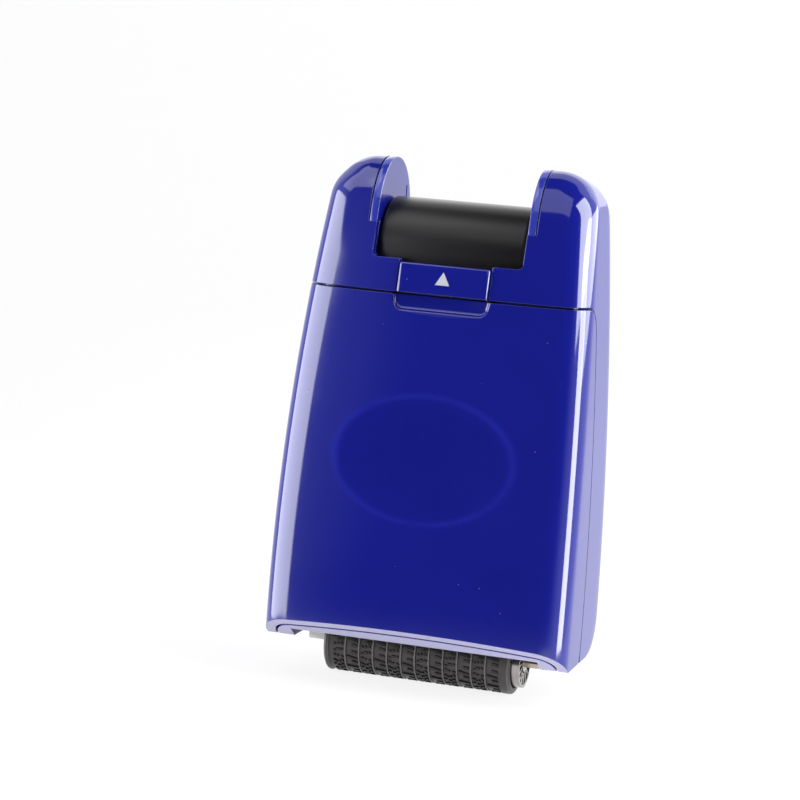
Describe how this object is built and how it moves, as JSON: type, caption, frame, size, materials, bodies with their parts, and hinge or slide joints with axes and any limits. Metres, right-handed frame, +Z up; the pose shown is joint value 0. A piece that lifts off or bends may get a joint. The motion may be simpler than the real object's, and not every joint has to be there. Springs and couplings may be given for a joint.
{
  "type": "roller stamp",
  "caption": "Hand-held roller stamp: a sprung key between two horns pushes a carriage with an inked printing roller out of the bottom; hinged front cover with a sliding latch.",
  "frame": {"origin": "bottom centre of the whole part, under the pressed printing roller", "axes": "+X to the right of the front cover, +Y to the back, +Z up towards the key"},
  "size_m": [0.048, 0.0278, 0.0807],
  "materials": {
    "blue_plastic": "gloss",
    "black_plastic": "gloss",
    "grey_plastic": "gloss",
    "pale_plastic": "matte",
    "light_print": "matte",
    "stamp_rubber": "matte",
    "ink_felt": "soft",
    "steel": "satin",
    "brass_pin": "satin"
  },
  "bodies": {
    "housing": {"rear_housing": "blue_plastic", "inner_frame": "blue_plastic", "left_cheek": "blue_plastic", "right_cheek": "blue_plastic", "left_guide_rod": "steel", "right_guide_rod": "steel", "left_return_spring": "steel", "right_return_spring": "steel", "cover_hinge_pins": "steel", "frame_screws": "steel"},
    "cover": {"front_cover": "blue_plastic"},
    "latch": {"latch_button": "blue_plastic", "latch_arrow": "light_print"},
    "carriage": {"press_key": "black_plastic", "carriage_frame": "pale_plastic", "key_screws": "steel", "stamp_axle": "brass_pin", "ink_axle": "steel"},
    "stamp_roller": {"printing_sleeve": "stamp_rubber", "roller_core": "pale_plastic", "left_end_cap": "grey_plastic", "right_end_cap": "grey_plastic"},
    "ink_roller": {"ink_felt": "ink_felt", "ink_core": "pale_plastic"}
  },
  "joints": [
    {"name": "key_press", "type": "slide", "parent": "housing", "child": "carriage", "axis": [0, 0, 1], "range_m": [0, 0.007], "stiffness_N_per_m": 300, "springref_m": 0.009, "deforming": ["left_return_spring", "right_return_spring"]},
    {"name": "stamp_roll", "type": "hinge", "parent": "carriage", "child": "stamp_roller", "pos_m": [0, 0, 0.0052], "axis": [1, 0, 0], "continuous": true},
    {"name": "ink_roll", "type": "hinge", "parent": "carriage", "child": "ink_roller", "pos_m": [0, 0, 0.01455], "axis": [1, 0, 0], "continuous": true},
    {"name": "cover_swing", "type": "hinge", "parent": "housing", "child": "cover", "pos_m": [0, -0.0065, 0.0084], "axis": [1, 0, 0], "range_deg": [0, 80]},
    {"name": "latch_slide", "type": "slide", "parent": "housing", "child": "latch", "axis": [0, 0.2283, 0.9736], "range_m": [0, 0.002]}
  ],
  "couplings": [
    {"joint": "ink_roll", "follows": "stamp_roll", "ratio": -1.3}
  ]
}
